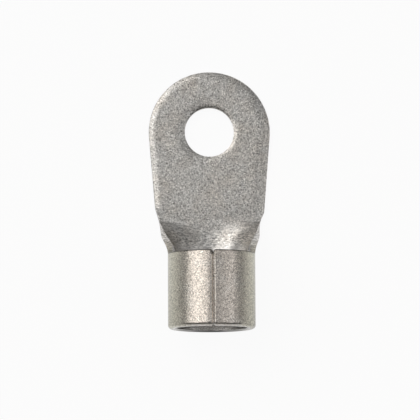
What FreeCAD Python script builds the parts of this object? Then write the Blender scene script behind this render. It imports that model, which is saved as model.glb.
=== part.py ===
import FreeCAD, Part
import math
import os

import Sketcher

# Crimp ring terminal of tinned copper, stamped from one sheet and rolled.
# The ring and tongue lie flat. The same sheet rises through a trough into the
# wire barrel, which is rolled round and closed by a brazed butt seam on top.
# The part lies on the tongue's underside, level with the barrel's lowest line.
# Axes: X across, +Y from the barrel to the ring, +Z up.
# Origin: centre of the stud hole, on the underside of the tongue.

SIZES = {
    # the sheet and the ring
    "stock": 1.0,              # thickness of the sheet
    "ring_diameter": 16.5,     # outside of the ring
    "stud_hole": 6.7,          # clears a 6 mm or quarter inch stud
    # the flat tongue, measured from the hole's centre towards the barrel
    "hole_to_crease": 12.1,    # the flat ends here and the trough begins
    "neck_width": 13.85,       # width of the sheet at the crease
    "corner_step": 0.5,        # how far each tongue corner stands outside the neck
    "left_corner": 1.7,        # from the crease up to the left corner
    "right_corner": 1.15,      # the right corner is trimmed nearer to the crease
    # the trough, where the flat sheet is rolled up into the barrel
    "trough_length": 4.95,     # from the crease to the barrel's free edge
    "trough_wrap": 94.0,       # degrees from the lowest line up to the trough's edge
    # the wire barrel
    "barrel_bore": 9.8,        # inside diameter, for the stripped conductor
    "barrel_length": 10.25,
    "mouth_round": 0.55,       # rounding of the mouth's outer edge
    "mouth_bevel": 0.2,        # bevel of the mouth's inner edge
    "free_edge": 0.12,         # rounding of the barrel's free edge over the trough
    # the brazed butt seam along the top of the barrel
    "seam_lip": 0.25,          # radius of each rolled lip
    "seam_depth": 0.2,         # from the barrel's outside down to the braze
    "seam_braze": 0.1,         # width of the braze between the lips
    "blank_corner": 0.35,      # radius of the sheet's corners at the seam's ends
    # the upper edges that the punches roll over, a gentle curve and then a tight one
    "roll_slope": 31.0,        # degrees, where the gentle curve hands over to the tight one
    "outline_roll": 1.6,       # radius of the gentle curve round the ring and the tongue
    "outline_edge": 0.12,      # radius of the tight curve below it
    "hole_roll": 1.1,          # radius of the gentle curve round the stud hole
    "neck_edge": 0.12,         # rounding of the trimmed corners below the tongue
    "under_round": 0.15,
}

# Sections of the trough between the crease and the barrel. Each gives its
# share of the trough's length, then the share of the wrap that the sheet's
# edge has reached there, then the share of the sheet's widening.
TROUGH_SECTIONS = [
    (0.04, 0.020, -0.025),
    (0.12, 0.090, -0.075),
    (0.25, 0.205, -0.110),
    (0.40, 0.370, -0.050),
    (0.55, 0.580, 0.145),
    (0.70, 0.775, 0.420),
    (0.85, 0.910, 0.705),
]

# Lengths that several features share, as formulas on the sheet's cells.
OUTER_RADIUS = "(Sizes.barrel_bore / 2 + Sizes.stock)"
MEAN_RADIUS = "((Sizes.barrel_bore + Sizes.stock) / 2)"
BARREL_START = "(Sizes.hole_to_crease + Sizes.trough_length)"
BARREL_END = "(Sizes.hole_to_crease + Sizes.trough_length + Sizes.barrel_length)"

# How the sketcher numbers a line's points, its own axes and its origin.
START, END, CENTRE = range(1, 4)
X_AXIS, Y_AXIS = range(-1, -3, -1)
ORIGIN = (X_AXIS, START)

# Two levels nearer to each other than this are the same level.
NEAR = 1e-4

# A rolled edge's bevel is this much longer than its two curves need.
BEVEL_ROOM = 1.02

doc = FreeCAD.newDocument("RingTerminal")


# Spreadsheet of the driving dimensions

def make_sheet():
    sheet = doc.addObject("Spreadsheet::Sheet", "Sizes")
    for row, (alias, value) in enumerate(SIZES.items(), start=1):
        sheet.set("A%d" % row, alias)
        sheet.set("B%d" % row, str(value))
        sheet.setAlias("B%d" % row, alias)
    doc.recompute()
    return sheet


sheet = make_sheet()


def size(alias):
    return float(sheet.get(alias))


# Sketches on the body's own origin planes

def sketch_on(body, name, role, offset=None):
    plane = next(f for f in body.Origin.OriginFeatures if f.Role == role)
    sketch = body.newObject("Sketcher::SketchObject", name)
    sketch.AttachmentSupport = [(plane, "")]
    sketch.MapMode = "FlatFace"
    if offset:
        sketch.setExpression("AttachmentOffset.Base.z", offset)
        doc.recompute()
    return sketch


def bind(sketch, kind, refs, value, formula):
    """Adds a dimension that starts at value and follows the formula."""
    index = sketch.addConstraint(Sketcher.Constraint(kind, *refs, value))
    sketch.setExpression("Constraints[%d]" % index, formula)


def join(sketch, *pairs):
    for first, first_end, second, second_end in pairs:
        sketch.addConstraint(
            Sketcher.Constraint("Coincident", first, first_end, second, second_end))


def line(sketch, start, end):
    return sketch.addGeometry(Part.LineSegment(
        FreeCAD.Vector(*start, 0), FreeCAD.Vector(*end, 0)))


def arc(sketch, centre, radius, start_angle, end_angle):
    circle = Part.Circle(FreeCAD.Vector(*centre, 0), FreeCAD.Vector(0, 0, 1), radius)
    return sketch.addGeometry(Part.ArcOfCircle(circle, start_angle, end_angle))


def add_pocket(body, name, sketch, depth_formula):
    """Cuts from the sketch back into the solid, and makes sure that it cut something."""
    before = body.Shape.Volume
    pocket = body.newObject("PartDesign::Pocket", name)
    pocket.Profile = sketch
    pocket.setExpression("Length", depth_formula)
    doc.recompute()
    if not pocket.Shape.Volume < before:
        raise RuntimeError("%s cuts nothing" % name)
    return pocket


# Ring and tongue: a round ring with sides that taper to two trimmed corners

def corner_places():
    half = size("neck_width") / 2 + size("corner_step")
    crease = -size("hole_to_crease")
    return (-half, crease + size("left_corner")), (half, crease + size("right_corner"))


def upper_corner():
    return max(y for x, y in corner_places())


def bind_corners(sketch, left, right):
    """Holds two points of a sketch at the tongue's corners."""
    half_width = "Sizes.neck_width / 2 + Sizes.corner_step"
    (left_x, left_y), (right_x, right_y) = corner_places()
    bind(sketch, "DistanceX", (*left, *ORIGIN), -left_x, half_width)
    bind(sketch, "DistanceX", (*ORIGIN, *right), right_x, half_width)
    bind(sketch, "DistanceY", (*left, *ORIGIN), -left_y,
         "Sizes.hole_to_crease - Sizes.left_corner")
    bind(sketch, "DistanceY", (*right, *ORIGIN), -right_y,
         "Sizes.hole_to_crease - Sizes.right_corner")


def add_plate(body, name, sketch):
    pad = body.newObject("PartDesign::Pad", name)
    pad.Profile = sketch
    pad.setExpression("Length", "Sizes.stock")
    doc.recompute()
    return pad


def add_tongue(body):
    sketch = sketch_on(body, "TongueOutline", "XY_Plane")
    radius = size("ring_diameter") / 2
    left_corner, right_corner = corner_places()
    ring = arc(sketch, (0, 0), radius, 0.0, math.pi)
    left_side = line(sketch, (-radius, 0), left_corner)
    foot = line(sketch, left_corner, right_corner)
    right_side = line(sketch, right_corner, (radius, 0))
    join(sketch,
         (ring, CENTRE, *ORIGIN),
         (left_side, END, foot, START),
         (foot, END, right_side, START))
    sketch.addConstraint(Sketcher.Constraint("Tangent", ring, END, left_side, START))
    sketch.addConstraint(Sketcher.Constraint("Tangent", right_side, END, ring, START))
    bind(sketch, "Radius", (ring,), radius, "Sizes.ring_diameter / 2")
    bind_corners(sketch, (foot, START), (foot, END))
    return add_plate(body, "Tongue", sketch)


def add_neck(body):
    """The trimmed piece between the tongue's corners and the crease."""
    sketch = sketch_on(body, "NeckOutline", "XY_Plane")
    neck = size("neck_width") / 2
    crease = -size("hole_to_crease")
    left_corner, right_corner = corner_places()
    head = line(sketch, right_corner, left_corner)
    left_cut = line(sketch, left_corner, (-neck, crease))
    crease_line = line(sketch, (-neck, crease), (neck, crease))
    right_cut = line(sketch, (neck, crease), right_corner)
    join(sketch,
         (head, END, left_cut, START),
         (left_cut, END, crease_line, START),
         (crease_line, END, right_cut, START),
         (right_cut, END, head, START))
    bind_corners(sketch, (head, END), (head, START))
    bind(sketch, "DistanceX", (left_cut, END, *ORIGIN), neck, "Sizes.neck_width / 2")
    bind(sketch, "DistanceX", (*ORIGIN, right_cut, START), neck, "Sizes.neck_width / 2")
    bind(sketch, "DistanceY", (left_cut, END, *ORIGIN), -crease, "Sizes.hole_to_crease")
    bind(sketch, "DistanceY", (right_cut, START, *ORIGIN), -crease, "Sizes.hole_to_crease")
    return add_plate(body, "Neck", sketch)


def add_stud_hole(body):
    sketch = sketch_on(body, "StudHoleCircle", "XY_Plane", "Sizes.stock")
    radius = size("stud_hole") / 2
    hole = sketch.addGeometry(
        Part.Circle(FreeCAD.Vector(0, 0, 0), FreeCAD.Vector(0, 0, 1), radius))
    join(sketch, (hole, CENTRE, *ORIGIN))
    bind(sketch, "Radius", (hole,), radius, "Sizes.stud_hole / 2")
    return add_pocket(body, "StudHole", sketch, "Sizes.stock")


# The edges that the punches leave

def edges_at(shape, level, wanted):
    """Names of a shape's edges that lie flat at a level and are wanted."""
    names = []
    for number, edge in enumerate(shape.Edges, start=1):
        box = edge.BoundBox
        if abs(box.ZMin - level) < NEAR and abs(box.ZMax - level) < NEAR and wanted(box):
            names.append("Edge%d" % number)
    return names


def around_outline(box):
    """The ring's arc and the two sides, but not the line between the corners."""
    return box.YMax > upper_corner() + NEAR


def around_hole(box):
    reach = size("stud_hole") / 2 + size("hole_roll")
    return max(-box.XMin, box.XMax, -box.YMin, box.YMax) < reach


def beside_neck(box):
    """The two trimmed edges between the corners and the crease."""
    return box.YLength > box.XLength and box.YMax < upper_corner() + NEAR


def add_fillet(body, name, base, edges, radius_formula):
    if not edges:
        raise RuntimeError("%s finds no edge" % name)
    fillet = body.newObject("PartDesign::Fillet", name)
    fillet.Base = (base, edges)
    fillet.setExpression("Radius", radius_formula)
    doc.recompute()
    return fillet


def add_roll(body, name, base, wanted, roll, edge=None):
    """Rolls an upper edge over: a bevel at the slope where the two curves meet,
    then the gentle curve above it and the tight one, if there is one, below it."""
    slant = "(%s * tan(Sizes.roll_slope / 2) + %s * tan(45 - Sizes.roll_slope / 2))" % (
        roll, edge or 0)
    bevel = body.newObject("PartDesign::Chamfer", name + "Bevel")
    bevel.Base = (base, edges_at(base.Shape, size("stock"), wanted))
    bevel.ChamferType = "Two distances"
    bevel.setExpression("Size", "%s * %s * sin(Sizes.roll_slope)" % (BEVEL_ROOM, slant))
    bevel.setExpression("Size2", "%s * %s * cos(Sizes.roll_slope)" % (BEVEL_ROOM, slant))
    doc.recompute()
    low_level = size("stock") - bevel.Size.Value
    if not edges_at(bevel.Shape, low_level, wanted):
        bevel.FlipDirection = True
        doc.recompute()
    result = add_fillet(body, name + "Gentle", bevel,
                        edges_at(bevel.Shape, size("stock"), wanted), roll)
    if edge:
        result = add_fillet(body, name + "Tight", result,
                            edges_at(result.Shape, low_level, wanted), edge)
    return result


def add_rolled_tongue(body):
    tongue = add_tongue(body)
    tongue = add_roll(body, "OutlineRoll", tongue, around_outline,
                      "Sizes.outline_roll", "Sizes.outline_edge")
    under = edges_at(tongue.Shape, 0, around_outline)
    return add_fillet(body, "OutlineUnder", tongue, under, "Sizes.under_round")


def add_trimmed_neck(body):
    neck = add_neck(body)
    trimmed = edges_at(neck.Shape, size("stock"), beside_neck)
    return add_fillet(body, "NeckEdges", neck, trimmed, "Sizes.neck_edge")


def add_rolled_hole(body):
    hole = add_stud_hole(body)
    hole = add_roll(body, "HoleRoll", hole, around_hole, "Sizes.hole_roll")
    under = edges_at(hole.Shape, 0, around_hole)
    return add_fillet(body, "HoleUnder", hole, under, "Sizes.under_round")


# Trough: the sheet's section bends from flat to the barrel's round

def flat_section(body):
    """The sheet's section at the crease, a plain rectangle."""
    sketch = sketch_on(body, "TroughFlat", "XZ_Plane", "Sizes.hole_to_crease")
    neck = size("neck_width") / 2
    stock = size("stock")
    bottom = line(sketch, (-neck, 0), (neck, 0))
    right = line(sketch, (neck, 0), (neck, stock))
    top = line(sketch, (neck, stock), (-neck, stock))
    left = line(sketch, (-neck, stock), (-neck, 0))
    join(sketch,
         (bottom, END, right, START),
         (right, END, top, START),
         (top, END, left, START),
         (left, END, bottom, START))
    sketch.addConstraint(Sketcher.Constraint("Vertical", right))
    sketch.addConstraint(Sketcher.Constraint("Vertical", left))
    sketch.addConstraint(Sketcher.Constraint("Horizontal", top))
    sketch.addConstraint(Sketcher.Constraint("PointOnObject", bottom, START, X_AXIS))
    sketch.addConstraint(
        Sketcher.Constraint("Symmetric", bottom, START, bottom, END, *ORIGIN))
    bind(sketch, "DistanceX", (bottom, START, bottom, END), 2 * neck, "Sizes.neck_width")
    bind(sketch, "DistanceY", (right, START, right, END), stock, "Sizes.stock")
    return sketch


def rolled_section(body, name, along, turn, spread):
    """A section of the sheet rolled to an arc that touches the ground at its middle."""
    offset = "Sizes.hole_to_crease + %g * Sizes.trough_length" % along
    sketch = sketch_on(body, name, "XZ_Plane", offset)

    stock = size("stock")
    wrap = math.radians(size("trough_wrap"))
    neck = size("neck_width") / 2
    reach = wrap * (size("barrel_bore") + stock) / 2
    mean = (neck + spread * (reach - neck)) / (turn * wrap)
    half_turn = turn * wrap

    wrap_formula = "(Sizes.trough_wrap * pi / 180)"
    width_formula = "(%g * Sizes.neck_width / 2 + %g * %s * %s)" % (
        1 - spread, spread, wrap_formula, MEAN_RADIUS)
    mean_formula = "(%s / (%g * %s))" % (width_formula, turn, wrap_formula)

    centre = (0, stock / 2 + mean)
    low, high = -math.pi / 2 - half_turn, -math.pi / 2 + half_turn
    outer = arc(sketch, centre, mean + stock / 2, low, high)
    inner = arc(sketch, centre, mean - stock / 2, low, high)

    def tip(radius, angle):
        return (radius * math.cos(angle), centre[1] + radius * math.sin(angle))

    right = line(sketch, tip(mean + stock / 2, high), tip(mean - stock / 2, high))
    left = line(sketch, tip(mean - stock / 2, low), tip(mean + stock / 2, low))
    join(sketch,
         (outer, CENTRE, inner, CENTRE),
         (outer, END, right, START),
         (right, END, inner, END),
         (inner, START, left, START),
         (left, END, outer, START))
    sketch.addConstraint(Sketcher.Constraint("PointOnObject", outer, CENTRE, right))
    sketch.addConstraint(Sketcher.Constraint("PointOnObject", outer, CENTRE, left))
    sketch.addConstraint(Sketcher.Constraint("PointOnObject", outer, CENTRE, Y_AXIS))
    sketch.addConstraint(Sketcher.Constraint("Horizontal", outer, START, outer, END))
    bind(sketch, "Radius", (outer,), mean + stock / 2,
         "%s + Sizes.stock / 2" % mean_formula)
    bind(sketch, "Radius", (inner,), mean - stock / 2,
         "%s - Sizes.stock / 2" % mean_formula)
    bind(sketch, "DistanceY", (*ORIGIN, outer, CENTRE), centre[1],
         "%s + Sizes.stock / 2" % mean_formula)
    bind(sketch, "Angle", (outer,), 2 * half_turn,
         "%g * Sizes.trough_wrap" % (2 * turn))
    return sketch


def add_trough(body):
    profile = flat_section(body)
    sections = [rolled_section(body, "TroughSection%d" % number, *shares)
                for number, shares in enumerate(TROUGH_SECTIONS, start=1)]
    sections.append(rolled_section(body, "TroughEnd", 1.0, 1.0, 1.0))
    doc.recompute()
    loft = body.newObject("PartDesign::AdditiveLoft", "Trough")
    loft.Profile = profile
    loft.Sections = sections
    loft.Ruled = False
    doc.recompute()
    return loft


# Wire barrel: a short round tube with a rounded outer mouth and a bevelled inner one

def add_barrel(body):
    sketch = sketch_on(body, "BarrelWall", "YZ_Plane")
    outer = size("barrel_bore") / 2 + size("stock")
    bore = size("barrel_bore") / 2
    start = -size("hole_to_crease") - size("trough_length")
    end = start - size("barrel_length")
    rounding = size("mouth_round")
    bevel = size("mouth_bevel")

    axis = line(sketch, (start, outer), (end, outer))
    sketch.toggleConstruction(axis)
    free_edge = line(sketch, (start, outer + bore), (start, 2 * outer))
    outside = line(sketch, (start, 2 * outer), (end + rounding, 2 * outer))
    round_edge = arc(sketch, (end + rounding, 2 * outer - rounding), rounding,
                     math.pi / 2, math.pi)
    face = line(sketch, (end, 2 * outer - rounding), (end, outer + bore + bevel))
    bevelled = line(sketch, (end, outer + bore + bevel), (end + bevel, outer + bore))
    inside = line(sketch, (end + bevel, outer + bore), (start, outer + bore))
    join(sketch,
         (free_edge, END, outside, START),
         (face, END, bevelled, START),
         (bevelled, END, inside, START),
         (inside, END, free_edge, START))
    sketch.addConstraint(Sketcher.Constraint("Tangent", outside, END, round_edge, START))
    sketch.addConstraint(Sketcher.Constraint("Tangent", round_edge, END, face, START))
    for level in (axis, outside, inside):
        sketch.addConstraint(Sketcher.Constraint("Horizontal", level))
    for upright in (free_edge, face):
        sketch.addConstraint(Sketcher.Constraint("Vertical", upright))

    bind(sketch, "DistanceX", (axis, START, *ORIGIN), -start, BARREL_START)
    bind(sketch, "DistanceX", (axis, END, *ORIGIN), -end, BARREL_END)
    bind(sketch, "DistanceY", (*ORIGIN, axis, START), outer, OUTER_RADIUS)
    bind(sketch, "DistanceX", (free_edge, START, *ORIGIN), -start, BARREL_START)
    bind(sketch, "DistanceX", (face, START, *ORIGIN), -end, BARREL_END)
    bind(sketch, "DistanceY", (axis, START, free_edge, START), bore,
         "Sizes.barrel_bore / 2")
    bind(sketch, "DistanceY", (axis, START, free_edge, END), outer, OUTER_RADIUS)
    bind(sketch, "Radius", (round_edge,), rounding,
         "min(Sizes.mouth_round; 0.5 * Sizes.stock)")
    bind(sketch, "DistanceX", (bevelled, START, bevelled, END), bevel,
         "min(Sizes.mouth_bevel; 0.3 * Sizes.stock)")
    bind(sketch, "DistanceY", (bevelled, END, bevelled, START), bevel,
         "min(Sizes.mouth_bevel; 0.3 * Sizes.stock)")

    barrel = body.newObject("PartDesign::Revolution", "Barrel")
    barrel.Profile = sketch
    barrel.ReferenceAxis = (sketch, ["Axis0"])
    barrel.Angle = 360.0
    doc.recompute()
    return barrel


# Seam: two rolled lips with braze between them, and the sheet's rounded corners

def draw_cleft(sketch, opens, level, lip, depth, level_formula, lip_formula, depth_formula):
    """Closed outline of the gap between two round lips that meet at the middle.
    It opens towards the sketch's up (1) or down (-1) side of the level."""
    half_braze = size("seam_braze") / 2
    middle = half_braze + lip
    tilt = math.asin((lip - depth) / lip)
    lid = level + opens * lip
    if opens > 0:
        left = arc(sketch, (-middle, level - lip), lip, tilt, math.pi / 2)
        right = arc(sketch, (middle, level - lip), lip, math.pi / 2, math.pi - tilt)
        left_floor, left_lip, right_lip, right_floor = START, END, START, END
    else:
        left = arc(sketch, (-middle, level + lip), lip, -math.pi / 2, -tilt)
        right = arc(sketch, (middle, level + lip), lip, math.pi + tilt, 1.5 * math.pi)
        left_floor, left_lip, right_lip, right_floor = END, START, END, START
    reach = lip * math.cos(tilt)
    floor_level = level - opens * depth
    left_wall = line(sketch, (-middle, level), (-middle, lid))
    top = line(sketch, (-middle, lid), (middle, lid))
    right_wall = line(sketch, (middle, lid), (middle, level))
    floor = line(sketch, (middle - reach, floor_level), (reach - middle, floor_level))
    join(sketch,
         (left, left_lip, left_wall, START),
         (left_wall, END, top, START),
         (top, END, right_wall, START),
         (right_wall, END, right, right_lip),
         (right, right_floor, floor, START),
         (floor, END, left, left_floor))
    for wall in (left_wall, right_wall):
        sketch.addConstraint(Sketcher.Constraint("Vertical", wall))
    for level_line in (top, floor):
        sketch.addConstraint(Sketcher.Constraint("Horizontal", level_line))
    sketch.addConstraint(Sketcher.Constraint("Vertical", left, CENTRE, left, left_lip))
    sketch.addConstraint(Sketcher.Constraint("Vertical", right, CENTRE, right, right_lip))
    sketch.addConstraint(
        Sketcher.Constraint("Symmetric", left, CENTRE, right, CENTRE, Y_AXIS))
    bind(sketch, "Radius", (left,), lip, lip_formula)
    bind(sketch, "Radius", (right,), lip, lip_formula)
    bind(sketch, "DistanceX", (*ORIGIN, right, CENTRE), middle,
         "Sizes.seam_braze / 2 + %s" % lip_formula)
    bind(sketch, "DistanceY", (*ORIGIN, left, left_lip), level, level_formula)
    if opens > 0:
        bind(sketch, "DistanceY", (floor, END, left, left_lip), depth, depth_formula)
        bind(sketch, "DistanceY", (left_wall, START, left_wall, END), lip, lip_formula)
    else:
        bind(sketch, "DistanceY", (left, left_lip, floor, END), depth, depth_formula)
        bind(sketch, "DistanceY", (left_wall, END, left_wall, START), lip, lip_formula)


def add_seam(body):
    outer = size("barrel_bore") / 2 + size("stock")
    groove = sketch_on(body, "SeamLips", "XZ_Plane", BARREL_END)
    draw_cleft(groove, 1, 2 * outer, size("seam_lip"), size("seam_depth"),
               "2 * " + OUTER_RADIUS, "Sizes.seam_lip", "Sizes.seam_depth")
    add_pocket(body, "SeamGroove", groove, "Sizes.barrel_length")

    start = -size("hole_to_crease") - size("trough_length")
    end = start - size("barrel_length")
    corner = size("blank_corner")
    result = None
    for name, opens, level, formula in (("MouthCorners", -1, end, BARREL_END),
                                        ("RingCorners", 1, start, BARREL_START)):
        notch = sketch_on(body, name + "Outline", "XY_Plane",
                          "2 * %s + Sizes.stock" % OUTER_RADIUS)
        draw_cleft(notch, opens, level, corner, corner,
                   "-" + formula, "Sizes.blank_corner", "Sizes.blank_corner")
        result = add_pocket(body, name, notch, "2.5 * Sizes.stock")
    return result


def round_free_edge(body, base):
    """Softens the two arcs where the barrel's outside ends over the trough."""
    start = -size("hole_to_crease") - size("trough_length")
    bore_top = size("stock") + size("barrel_bore")
    edges = []
    for number, edge in enumerate(base.Shape.Edges, start=1):
        box = edge.BoundBox
        in_plane = abs(box.YMin - start) < NEAR and abs(box.YMax - start) < NEAR
        if in_plane and box.XLength > NEAR and box.ZMax > bore_top + NEAR:
            edges.append("Edge%d" % number)
    return add_fillet(body, "FreeEdge", base, edges, "Sizes.free_edge")


# Build, check and write the one piece

def check_features():
    for feature in doc.Objects:
        if "Invalid" in feature.State or "Error" in feature.State:
            raise RuntimeError("%s failed: %s" % (feature.Label, feature.State))


def check_shape(label, shape):
    if shape.isNull() or not shape.isValid():
        raise RuntimeError("%s has no valid shape" % label)
    if len(shape.Solids) != 1:
        raise RuntimeError("%s is not one solid" % label)


body = doc.addObject("PartDesign::Body", "RingTerminalBody")
body.Label = "ring_terminal"
add_rolled_tongue(body)
add_trimmed_neck(body)
add_rolled_hole(body)
add_trough(body)
add_barrel(body)
round_free_edge(body, add_seam(body))
doc.recompute()

check_features()
check_shape(body.Label, body.Shape)
os.makedirs("parts", exist_ok=True)
body.Shape.exportStep("parts/%s.step" % body.Label)
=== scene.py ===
import math

import bpy
from mathutils import Matrix, Vector


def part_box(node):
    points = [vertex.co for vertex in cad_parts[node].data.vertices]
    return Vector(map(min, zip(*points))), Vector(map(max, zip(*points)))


# Bare crimp ring terminal of tinned copper, lying on its back on a white table. The origin is on
# the table, under the centre of the stud hole. +Y runs from the barrel to the ring, +X is to the
# right, and +Z is up.

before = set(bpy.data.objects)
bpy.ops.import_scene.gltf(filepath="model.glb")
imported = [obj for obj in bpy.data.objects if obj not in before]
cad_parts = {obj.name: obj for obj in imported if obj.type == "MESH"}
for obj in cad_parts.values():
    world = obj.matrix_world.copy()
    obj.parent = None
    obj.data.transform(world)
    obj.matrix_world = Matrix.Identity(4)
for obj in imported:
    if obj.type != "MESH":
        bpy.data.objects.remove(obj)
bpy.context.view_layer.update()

MM = 0.001

# The part's own places. Its barrel rests on the table, so the barrel's axis is at half height.
BOX_LOW, BOX_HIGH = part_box("ring_terminal")
RING_WIDTH = BOX_HIGH.x - BOX_LOW.x
BARREL_TOP = BOX_HIGH.z
AXIS_HEIGHT = BARREL_TOP / 2
MOUTH_Y = BOX_LOW.y
BARREL_LENGTH = 10.25 * MM
FREE_EDGE_Y = MOUTH_Y + BARREL_LENGTH
CREASE_Y = -12.1 * MM
NECK_WIDTH = 13.85 * MM
HOLE_RADIUS = 3.35 * MM
SHEET = 1.0 * MM

# In the trough the plate's finish ends and the burnished barrel's begins
PLATE_FINISH_Y = -15.0 * MM
BARREL_FINISH_Y = -17.3 * MM

# The strip with the seam's lips, and the notch where the seam meets the barrel's free edge
SEAM_LEFT_X = -0.75 * MM
SEAM_RIGHT_X = 0.35 * MM
NOTCH_X = -0.08 * MM
NOTCH_Y = FREE_EDGE_Y - 0.15 * MM
NOTCH_WIDTH_TO_LENGTH = 0.6

# Sizes of the patterns in the tin. Specks and streaks are about one pixel wide in the render, as
# coarse as they need to be to show. The streaks run out at the drawn length from the free edge.
SPECK = 0.16 * MM
STREAK = 0.17 * MM
BLOTCH = 1.3 * MM
CLOUD = 2.5 * MM
DRAWN_LENGTH = 6.0 * MM

# Heights of the relief in the tin, in millimetres, which is the unit of the bump
GRAIN_HEIGHT = 0.035
BLOTCH_HEIGHT = 0.04
CROWN_HEIGHT = 0.12
LIP_DEPTH = 0.08

# The most that tin reflects, as linear red, green and blue
BRIGHTEST_TIN = (0.97, 0.96, 0.94)
PLATE_ROUGHNESS = 0.34
BARREL_ROUGHNESS = 0.20

# The photograph's frame, and the ring's centre and width in it
FRAME_PX = 420
RING_PX = Vector((209.27, 132.55))
RING_WIDTH_PX = 121.1
METRES_PER_PX = RING_WIDTH / RING_WIDTH_PX

# Camera: a long lens nearly straight above, a little to the barrel's end and to the left
CAMERA_DISTANCE = 0.80
PITCH = math.radians(6.0)
YAW = math.radians(2.3)
ROLL = math.radians(0.05)
SENSOR = 36.0

# The camera sees this share of the table as plain white, and the rest as a lit surface that takes
# the shadow. The metal mirrors the white too, from a small pool round the terminal.
TABLE_SIZE = 4.0
TABLE_GLOW = 0.93
POOL_INNER = 8 * MM
POOL_OUTER = 42 * MM

# The light panels hang level at this height. The room round them is dim.
PANEL_HEIGHT = 1.2
WARM_WHITE = "#FFFDFA"
ROOM_LEVEL = 0.30
DARK_LEVEL = 0.03

# The Mix node's sockets go by number, because their names repeat
FACTOR = 0
NUMBER_A = 2
NUMBER_B = 3
COLOUR_A = 6
COLOUR_B = 7
MIXED_COLOUR = 2


def linear(hex_colour):
    """An sRGB hex colour as linear RGBA."""
    def channel(pair):
        value = int(pair, 16) / 255
        return value / 12.92 if value <= 0.04045 else ((value + 0.055) / 1.055) ** 2.4
    return tuple(channel(hex_colour[i:i + 2]) for i in (1, 3, 5)) + (1.0,)


def add_node(tree, kind, settings=None, links=None, values=None):
    """Adds a node, sets its properties and its sockets' values, and links its inputs. A link
    comes from an output, or from a node's first output where the node itself is given."""
    node = tree.nodes.new(kind)
    for name, value in (settings or {}).items():
        setattr(node, name, value)
    for name, value in (values or {}).items():
        node.inputs[name].default_value = value
    for name, source in (links or {}).items():
        output = source.outputs[0] if isinstance(source, bpy.types.Node) else source
        tree.links.new(output, node.inputs[name])
    return node


def set_stops(ramp, *stops):
    """Gives a colour ramp its stops. Each is a place from 0 to 1 and a hex colour or grey level."""
    ramp.elements[0].position = stops[0][0]
    ramp.elements[-1].position = stops[-1][0]
    for place, shade in stops[1:-1]:
        ramp.elements.new(place)
    for element, (place, shade) in zip(ramp.elements, stops):
        element.color = linear(shade) if isinstance(shade, str) else (shade, shade, shade, 1.0)


def new_material(name):
    """An empty material, with its node tree."""
    material = bpy.data.materials.new(name)
    material.use_nodes = True
    tree = material.node_tree
    tree.nodes.clear()
    return material, tree


def bore_wall(tree, place, barrel):
    """1 on the wall of the bore, and 0 elsewhere."""
    from_axis = add_node(tree, "ShaderNodeVectorMath", {"operation": "MULTIPLY_ADD"},
                         links={0: place}, values={1: (1, 0, 1), 2: (0, 0, -AXIS_HEIGHT)})
    radius = add_node(tree, "ShaderNodeVectorMath", {"operation": "LENGTH"}, links={0: from_axis})
    deep = add_node(tree, "ShaderNodeMapRange", links={"Value": radius.outputs["Value"]},
                    values={"From Min": AXIS_HEIGHT - 0.55 * SHEET,
                            "From Max": AXIS_HEIGHT - 0.75 * SHEET})
    return add_node(tree, "ShaderNodeMath", {"operation": "MULTIPLY"},
                    links={0: deep, 1: barrel})


def tumbled_grain(tree, place, y, barrel, inside):
    """Specks that are fainter on the barrel and faintest in its bore. In the trough the punch
    drew them out into short streaks across the sheet."""
    up_trough = add_node(tree, "ShaderNodeMapRange", links={"Value": y},
                         values={"From Min": FREE_EDGE_Y, "From Max": FREE_EDGE_Y + DRAWN_LENGTH})
    drawn = add_node(tree, "ShaderNodeValToRGB", links={"Fac": up_trough})
    set_stops(drawn.color_ramp, (0.0, 0.0), (0.01, 0.6), (0.35, 0.5), (1.0, 0.0))
    specks = add_node(tree, "ShaderNodeTexNoise", links={"Vector": place},
                      values={"Scale": 1 / SPECK, "Detail": 4.0, "Roughness": 0.72,
                              "Distortion": 1.2})
    squeezed = add_node(tree, "ShaderNodeVectorMath", {"operation": "MULTIPLY"},
                        links={0: place}, values={1: (0.35, 1.0, 0.6)})
    streaks = add_node(tree, "ShaderNodeTexNoise", links={"Vector": squeezed},
                       values={"Scale": 1 / STREAK, "Detail": 3.0, "Roughness": 0.6})
    noise = add_node(tree, "ShaderNodeMix",
                     links={FACTOR: drawn, NUMBER_A: specks, NUMBER_B: streaks})
    # The gain pulls the noise towards its middle, which is a half
    calm = add_node(tree, "ShaderNodeMath", {"operation": "ADD"}, links={0: barrel, 1: inside})
    gain = add_node(tree, "ShaderNodeMapRange", links={"Value": calm},
                    values={"From Max": 2.0, "To Min": 0.82, "To Max": 0.36})
    centred = add_node(tree, "ShaderNodeMath", {"operation": "SUBTRACT"},
                       links={0: noise}, values={1: 0.5})
    return add_node(tree, "ShaderNodeMath", {"operation": "MULTIPLY_ADD"},
                    links={0: centred, 1: gain}, values={2: 0.5})


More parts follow.
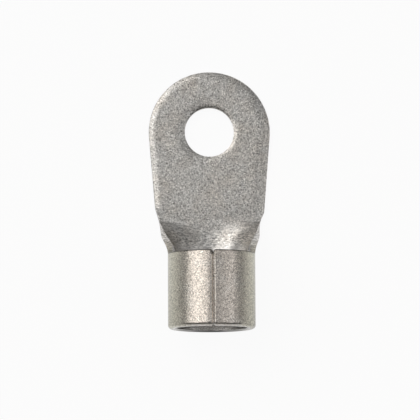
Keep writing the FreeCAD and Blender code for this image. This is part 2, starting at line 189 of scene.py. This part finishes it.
def straw_tint_and_painted_flank_reflection(tree, place, x, outside):
    """The brazing's straw colour on the outside of the barrel, in soft clouds. The flanks get a
    little more yellow as a painted reflection tint."""
    clouds = add_node(tree, "ShaderNodeTexNoise", links={"Vector": place},
                      values={"Scale": 1 / CLOUD, "Detail": 2.0, "Roughness": 0.5})
    heat = add_node(tree, "ShaderNodeMath", {"operation": "MULTIPLY_ADD"},
                    links={0: outside, 2: clouds}, values={1: 0.5})
    straw = add_node(tree, "ShaderNodeValToRGB", links={"Fac": heat})
    set_stops(straw.color_ramp, (0.40, "#FFFFFF"), (1.0, "#FFF8F1"))
    # The flanks' extra yellow is a painted reflection tint
    from_middle = add_node(tree, "ShaderNodeMath", {"operation": "ABSOLUTE"}, links={0: x})
    flank = add_node(tree, "ShaderNodeMapRange", links={"Value": from_middle},
                     values={"From Min": 2.8 * MM, "From Max": 5.2 * MM})
    painted_flank_reflection = add_node(tree, "ShaderNodeMath", {"operation": "MULTIPLY"},
                        links={0: flank, 1: outside})
    tint = add_node(tree, "ShaderNodeMix", {"data_type": "RGBA"},
                    links={FACTOR: painted_flank_reflection, COLOUR_A: straw},
                    values={COLOUR_B: linear("#FDFCEE")})
    return tint.outputs[MIXED_COLOUR]


def painted_edge_light_and_shade(tree, place, y, z, across, on_top):
    """A factor on the tin's colour that paints light and shade at edges. The sheared end face of
    the mouth gets a painted highlight at its top and painted shade at its foot, the seam's cleft
    and the barrel's free edge over the trough get painted shade, the cleft's right lip gets a
    painted highlight, and elsewhere the factor is 1."""
    # Painted highlight at the top of the mouth's end face and painted shade at its foot
    painted_light_by_height = add_node(tree, "ShaderNodeMapRange", links={"Value": z},
                     values={"From Min": 1 * MM, "From Max": 7 * MM,
                             "To Min": 0.25, "To Max": 1.5})
    painted_end_face_light = add_node(tree, "ShaderNodeMapRange", links={"Value": y, "To Min": painted_light_by_height},
                        values={"From Min": MOUTH_Y + 0.10 * MM, "From Max": MOUTH_Y + 0.28 * MM})

    # Painted shade in the cleft and darker in the notch at its end, a painted highlight on its
    # right lip
    seam_painted_shade_and_highlight = add_node(tree, "ShaderNodeValToRGB", links={"Fac": across})
    set_stops(seam_painted_shade_and_highlight.color_ramp, (0.0, 1.0), (0.57, 1.0), (0.63, 0.495), (0.70, 0.495),
              (0.76, 1.38), (0.88, 1.38), (0.95, 1.0), (1.0, 1.0))
    in_plan = add_node(tree, "ShaderNodeVectorMath", {"operation": "MULTIPLY"},
                       links={0: place}, values={1: (1.0, NOTCH_WIDTH_TO_LENGTH, 0.0)})
    from_notch = add_node(tree, "ShaderNodeVectorMath", {"operation": "DISTANCE"},
                          links={0: in_plan},
                          values={1: (NOTCH_X, NOTCH_WIDTH_TO_LENGTH * NOTCH_Y, 0.0)})
    notch = add_node(tree, "ShaderNodeMapRange", links={"Value": from_notch.outputs["Value"]},
                     values={"From Min": 0.18 * MM, "From Max": 0.38 * MM, "To Min": 0.3})
    cleft = add_node(tree, "ShaderNodeMath", {"operation": "MULTIPLY"},
                     links={0: seam_painted_shade_and_highlight, 1: notch})
    painted_light_on_seam = add_node(tree, "ShaderNodeMapRange", links={"Value": on_top, "To Max": cleft},
                    values={"To Min": 1.0})

    # Painted shade makes the free edge a dark line, only where it stands open above the trough
    at_edge = add_node(tree, "ShaderNodeMapRange", links={"Value": y},
                       values={"From Min": FREE_EDGE_Y - 0.3 * MM,
                               "From Max": FREE_EDGE_Y + 0.1 * MM})
    painted_free_edge_shade = add_node(tree, "ShaderNodeValToRGB", links={"Fac": at_edge})
    set_stops(painted_free_edge_shade.color_ramp, (0.0, 1.0), (0.3, 1.0), (0.45, 0.2), (0.85, 0.2), (1.0, 1.0))
    open_side = add_node(tree, "ShaderNodeMapRange", links={"Value": z, "To Max": painted_free_edge_shade},
                         values={"From Min": AXIS_HEIGHT + 0.4 * MM,
                                 "From Max": AXIS_HEIGHT + 1.2 * MM, "To Min": 1.0})
    ends = add_node(tree, "ShaderNodeMath", {"operation": "MULTIPLY"},
                    links={0: painted_end_face_light, 1: open_side})
    return add_node(tree, "ShaderNodeMath", {"operation": "MULTIPLY"}, links={0: ends, 1: painted_light_on_seam})


def relief(tree, place, x, y, grain, across, on_top):
    """Heights in millimetres: soft blotches, the grain, the crowns that the punches left beside
    the plate's edges, and the lips of the seam, where the left one is wider."""
    blotches = add_node(tree, "ShaderNodeTexNoise", links={"Vector": place},
                        values={"Scale": 1 / BLOTCH, "Detail": 3.0, "Roughness": 0.6})
    swell = add_node(tree, "ShaderNodeMath", {"operation": "MULTIPLY"},
                     links={0: blotches}, values={1: BLOTCH_HEIGHT})
    rough = add_node(tree, "ShaderNodeMath", {"operation": "MULTIPLY_ADD"},
                     links={0: grain, 2: swell}, values={1: GRAIN_HEIGHT})

    # The outer crown follows the tongue's tapered sides and then the ring's round end
    half_width = add_node(tree, "ShaderNodeMapRange", links={"Value": y},
                          values={"From Min": CREASE_Y, "From Max": 0.0,
                                  "To Min": NECK_WIDTH / 2, "To Max": RING_WIDTH / 2})
    past_centre = add_node(tree, "ShaderNodeMath", {"operation": "MAXIMUM"},
                           links={0: y}, values={1: 0.0})
    to_edge = add_node(tree, "ShaderNodeCombineXYZ", links={"X": x, "Y": past_centre})
    reach = add_node(tree, "ShaderNodeVectorMath", {"operation": "LENGTH"}, links={0: to_edge})
    from_edge = add_node(tree, "ShaderNodeMath", {"operation": "SUBTRACT"},
                         links={0: half_width, 1: reach.outputs["Value"]})
    outer_crown = add_node(tree, "ShaderNodeMapRange", {"interpolation_type": "SMOOTHSTEP"},
                           links={"Value": from_edge},
                           values={"From Min": 0.4 * MM, "From Max": 1.6 * MM})

    # The outer crown is only on the right side, and the crown round the hole only on the left
    in_plan = add_node(tree, "ShaderNodeCombineXYZ", links={"X": x, "Y": y})
    from_centre = add_node(tree, "ShaderNodeVectorMath", {"operation": "LENGTH"},
                           links={0: in_plan})
    hole_crown = add_node(tree, "ShaderNodeMapRange", {"interpolation_type": "SMOOTHSTEP"},
                          links={"Value": from_centre.outputs["Value"]},
                          values={"From Min": HOLE_RADIUS + 0.25 * MM,
                                  "From Max": HOLE_RADIUS + 1.35 * MM})
    to_right = add_node(tree, "ShaderNodeMapRange", links={"Value": x},
                        values={"From Min": -2 * MM, "From Max": 2 * MM})
    crowns = add_node(tree, "ShaderNodeMix",
                      links={FACTOR: to_right, NUMBER_A: hole_crown, NUMBER_B: outer_crown})
    on_plate = add_node(tree, "ShaderNodeMapRange", links={"Value": y},
                        values={"From Min": -12 * MM, "From Max": -10 * MM,
                                "To Max": CROWN_HEIGHT})
    crowned = add_node(tree, "ShaderNodeMath", {"operation": "MULTIPLY_ADD"},
                       links={0: crowns, 1: on_plate, 2: rough})

    lips = add_node(tree, "ShaderNodeValToRGB", links={"Fac": across})
    lips.color_ramp.interpolation = "B_SPLINE"
    set_stops(lips.color_ramp, (0.0, 0.0), (0.14, 0.05), (0.28, 0.14), (0.42, 0.34),
              (0.6, 0.92), (0.72, 0.95), (0.84, 0.15), (1.0, 0.0))
    sunk = add_node(tree, "ShaderNodeMath", {"operation": "MULTIPLY"},
                    links={0: lips, 1: on_top})
    return add_node(tree, "ShaderNodeMath", {"operation": "MULTIPLY_ADD"},
                    links={0: sunk, 2: crowned}, values={1: -LIP_DEPTH})


def matte_tin_plate():
    """Copper sheet that was tumbled and barrel plated with matte tin: a soft satin metal whose
    light breaks up in a fine, slightly wormy grain. The barrel was burnished on its mandrel and
    then brazed, so it is smoother, fainter in grain and a little straw coloured."""
    material, tree = new_material("matte_tin_plate")
    place = add_node(tree, "ShaderNodeTexCoord").outputs["Object"]
    x, y, z = add_node(tree, "ShaderNodeSeparateXYZ", links={"Vector": place}).outputs
    barrel = add_node(tree, "ShaderNodeMapRange", links={"Value": y},
                      values={"From Min": PLATE_FINISH_Y, "From Max": BARREL_FINISH_Y})
    inside = bore_wall(tree, place, barrel)
    outside = add_node(tree, "ShaderNodeMath", {"operation": "SUBTRACT"},
                       links={0: barrel, 1: inside})
    across = add_node(tree, "ShaderNodeMapRange", links={"Value": x},
                      values={"From Min": SEAM_LEFT_X, "From Max": SEAM_RIGHT_X})
    on_top = add_node(tree, "ShaderNodeMapRange", links={"Value": z},
                      values={"From Min": BARREL_TOP - 0.8 * MM,
                              "From Max": BARREL_TOP - 0.5 * MM})

    grain = tumbled_grain(tree, place, y, barrel, inside)
    tone = add_node(tree, "ShaderNodeValToRGB", links={"Fac": grain})
    set_stops(tone.color_ramp, (0.41, "#5A5956"), (0.58, "#FFFCF8"))
    warm = add_node(tree, "ShaderNodeVectorMath", {"operation": "MULTIPLY"},
                    links={0: tone, 1: straw_tint_and_painted_flank_reflection(tree, place, x, outside)})
    # The tin in the bore is mixed part way towards a pale near-white
    paler_bore = add_node(tree, "ShaderNodeMath", {"operation": "MULTIPLY"},
                       links={0: inside}, values={1: 0.55})
    tin = add_node(tree, "ShaderNodeMix", {"data_type": "RGBA"},
                   links={FACTOR: paler_bore, COLOUR_A: warm}, values={COLOUR_B: linear("#FAF9F7")})
    # Painted light and shade at the mouth, the seam and the free edge
    tin_with_painted_light = add_node(tree, "ShaderNodeVectorMath", {"operation": "SCALE"},
                      links={0: tin.outputs[MIXED_COLOUR],
                             "Scale": painted_edge_light_and_shade(tree, place, y, z, across, on_top)})
    colour = add_node(tree, "ShaderNodeVectorMath", {"operation": "MINIMUM"},
                      links={0: tin_with_painted_light}, values={1: BRIGHTEST_TIN})

    bump = add_node(tree, "ShaderNodeBump", values={"Strength": 1.0, "Distance": MM},
                    links={"Height": relief(tree, place, x, y, grain, across, on_top)})
    rubbed = add_node(tree, "ShaderNodeMapRange", links={"Value": barrel},
                      values={"To Min": PLATE_ROUGHNESS, "To Max": BARREL_ROUGHNESS})
    shader = add_node(tree, "ShaderNodeBsdfPrincipled", values={"Metallic": 1.0},
                      links={"Base Color": colour, "Roughness": rubbed, "Normal": bump})
    add_node(tree, "ShaderNodeOutputMaterial", links={"Surface": shader})
    return material


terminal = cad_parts["ring_terminal"]
terminal.data.materials[0] = matte_tin_plate()


# Table, light and camera

def add_table():
    """A white table that takes the terminal's soft shadow."""
    bpy.ops.mesh.primitive_plane_add(size=TABLE_SIZE, location=(0, 0, 0))
    table = bpy.context.object
    table.name = "table"
    material, tree = new_material("white_table")
    path = add_node(tree, "ShaderNodeLightPath")
    place = add_node(tree, "ShaderNodeTexCoord").outputs["Object"]
    away = add_node(tree, "ShaderNodeVectorMath", {"operation": "LENGTH"}, links={0: place})
    pool = add_node(tree, "ShaderNodeMapRange", links={"Value": away.outputs["Value"]},
                    values={"From Min": POOL_INNER, "From Max": POOL_OUTER,
                            "To Min": 1.0, "To Max": 0.0})
    mirrored = add_node(tree, "ShaderNodeMath", {"operation": "MULTIPLY"},
                        links={0: path.outputs["Is Glossy Ray"], 1: pool})
    seen = add_node(tree, "ShaderNodeMath", {"operation": "MAXIMUM"},
                    links={0: path.outputs["Is Camera Ray"], 1: mirrored})
    share = add_node(tree, "ShaderNodeMath", {"operation": "MULTIPLY"},
                     links={0: seen}, values={1: TABLE_GLOW})
    diffuse = add_node(tree, "ShaderNodeBsdfDiffuse", values={"Color": linear("#F8F8F8")})
    glow = add_node(tree, "ShaderNodeEmission", values={"Strength": 1.0})
    surface = add_node(tree, "ShaderNodeMixShader", links={0: share, 1: diffuse, 2: glow})
    add_node(tree, "ShaderNodeOutputMaterial", links={"Surface": surface})
    table.data.materials.append(material)


def add_panel(name, across, along, radiance, colour="#FFFFFF"):
    """A soft panel of light that hangs level above the terminal. Its edges are in degrees from
    straight up: across from left to right, and along from the barrel's end to the ring's end.
    A radiance of 1 is a white surface."""
    left, right = (PANEL_HEIGHT * math.tan(math.radians(edge)) for edge in across)
    near, far = (PANEL_HEIGHT * math.tan(math.radians(edge)) for edge in along)
    light = bpy.data.lights.new(name, "AREA")
    light.shape = "RECTANGLE"
    light.size = right - left
    light.size_y = far - near
    light.energy = radiance * math.pi * light.size * light.size_y
    light.color = linear(colour)[:3]
    panel = bpy.data.objects.new(name, light)
    bpy.context.scene.collection.objects.link(panel)
    panel.location = ((left + right) / 2, (near + far) / 2, PANEL_HEIGHT)


def add_world():
    """A dim room, which is nearly dark high above the barrel's end, between the panels and the
    horizon. To the camera it is plain white."""
    world = bpy.data.worlds.new("studio")
    bpy.context.scene.world = world
    world.use_nodes = True
    tree = world.node_tree
    tree.nodes.clear()
    path = add_node(tree, "ShaderNodeLightPath")
    facing = add_node(tree, "ShaderNodeTexCoord").outputs["Generated"]
    toward = add_node(tree, "ShaderNodeSeparateXYZ", links={"Vector": facing})
    # 0 is level towards the barrel's end, and 1 is straight up and all of the ring's side
    from_horizon = add_node(tree, "ShaderNodeMapRange", links={"Value": toward.outputs["Y"]},
                            values={"From Min": -1.0, "From Max": 0.0})
    level = add_node(tree, "ShaderNodeValToRGB", links={"Fac": from_horizon})
    set_stops(level.color_ramp, (0.0, ROOM_LEVEL), (0.15, ROOM_LEVEL), (0.32, DARK_LEVEL),
              (0.62, DARK_LEVEL), (0.86, 0.29), (1.0, ROOM_LEVEL))
    room = add_node(tree, "ShaderNodeBackground", links={"Color": level},
                    values={"Strength": 1.0})
    white = add_node(tree, "ShaderNodeBackground", values={"Color": (1, 1, 1, 1), "Strength": 1.0})
    surface = add_node(tree, "ShaderNodeMixShader",
                       links={0: path.outputs["Is Camera Ray"], 1: room, 2: white})
    add_node(tree, "ShaderNodeOutputWorld", links={"Surface": surface})


def add_camera():
    """The camera, placed so that the ring's centre falls where the photograph shows it."""
    camera = bpy.data.cameras.new("camera")
    camera.sensor_width = SENSOR
    camera.lens = SENSOR * CAMERA_DISTANCE / (FRAME_PX * METRES_PER_PX)
    camera.clip_start = 0.01
    camera.clip_end = 10.0
    eye = bpy.data.objects.new("camera", camera)
    bpy.context.scene.collection.objects.link(eye)
    turn = (Matrix.Rotation(PITCH, 4, "X") @ Matrix.Rotation(-YAW, 4, "Y")
            @ Matrix.Rotation(-ROLL, 4, "Z"))
    right_px = RING_PX.x - FRAME_PX / 2
    up_px = FRAME_PX / 2 - RING_PX.y
    seen_from_eye = Vector((right_px * METRES_PER_PX, up_px * METRES_PER_PX, -CAMERA_DISTANCE))
    ring_centre = Vector((0, 0, SHEET / 2))
    place = ring_centre - turn.to_3x3() @ seen_from_eye
    eye.matrix_world = Matrix.Translation(place) @ turn
    bpy.context.scene.camera = eye


add_table()
add_panel("left_panel", (-63, -11), (12, 58), 1.5, WARM_WHITE)
add_panel("left_low_panel", (-63, -11), (-12, 12), 1.18, WARM_WHITE)
add_panel("left_edge_panel", (-63, -30), (-26, -12), 1.26, WARM_WHITE)
add_panel("top_panel", (-7, 2), (2, 62), 0.60)
add_panel("right_panel", (45, 66), (-25, 15), 0.85)
add_panel("right_edge_panel", (14, 45), (-25, 9), 0.5)
add_world()
add_camera()
bpy.context.scene.view_settings.view_transform = "Standard"
